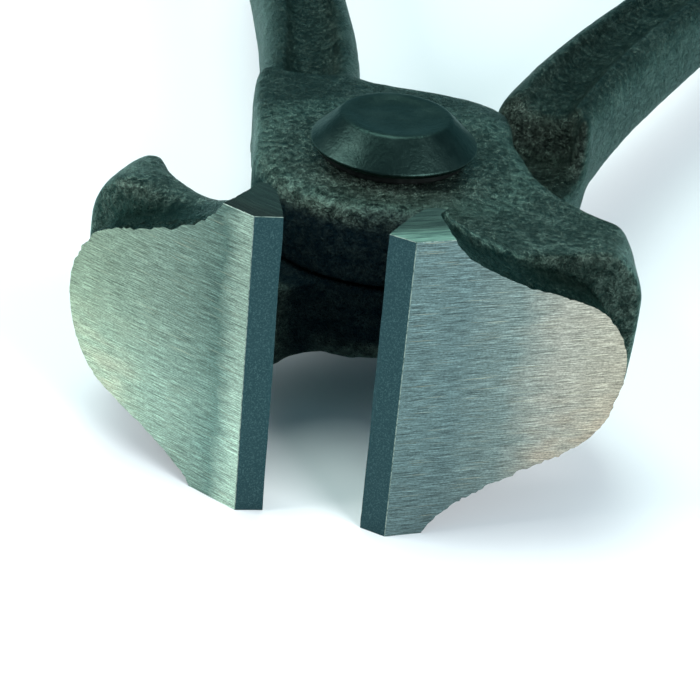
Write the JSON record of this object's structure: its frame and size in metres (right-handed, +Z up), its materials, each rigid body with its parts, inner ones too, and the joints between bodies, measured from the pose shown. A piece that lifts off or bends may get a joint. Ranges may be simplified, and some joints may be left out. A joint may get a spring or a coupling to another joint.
{
  "type": "end-cutting nippers",
  "caption": "Forged end-cutting nippers: crossing levers in a lap joint on a cone-headed rivet, ground jaw faces, wide cutting edges and sleeve grips.",
  "frame": {"origin": "centre of the tool's bounding box in plan, on the plane the blade ends stand on", "axes": "+Y from the cutting edges towards the grips, +Z up along the rivet's axis, X across the jaws"},
  "size_m": [0.1338, 0.2811, 0.03],
  "materials": {
    "forged_steel": "forged, dark phosphate and oil",
    "rivet_steel": "satin, oxide black",
    "washer_steel": "dark",
    "grip": "matte sleeve"
  },
  "bodies": {
    "lower_half": {"lower_lever": "forged_steel", "pivot_rivet": "rivet_steel", "upper_washer": "washer_steel", "lower_washer": "washer_steel", "right_grip": "grip"},
    "upper_half": {"upper_lever": "forged_steel", "left_grip": "grip"}
  },
  "joints": [
    {"name": "jaw_pivot", "type": "hinge", "parent": "lower_half", "child": "upper_half", "pos_m": [0, -0.1078, 0.015], "axis": [0, 0, 1], "range_deg": [-16, 22]}
  ]
}
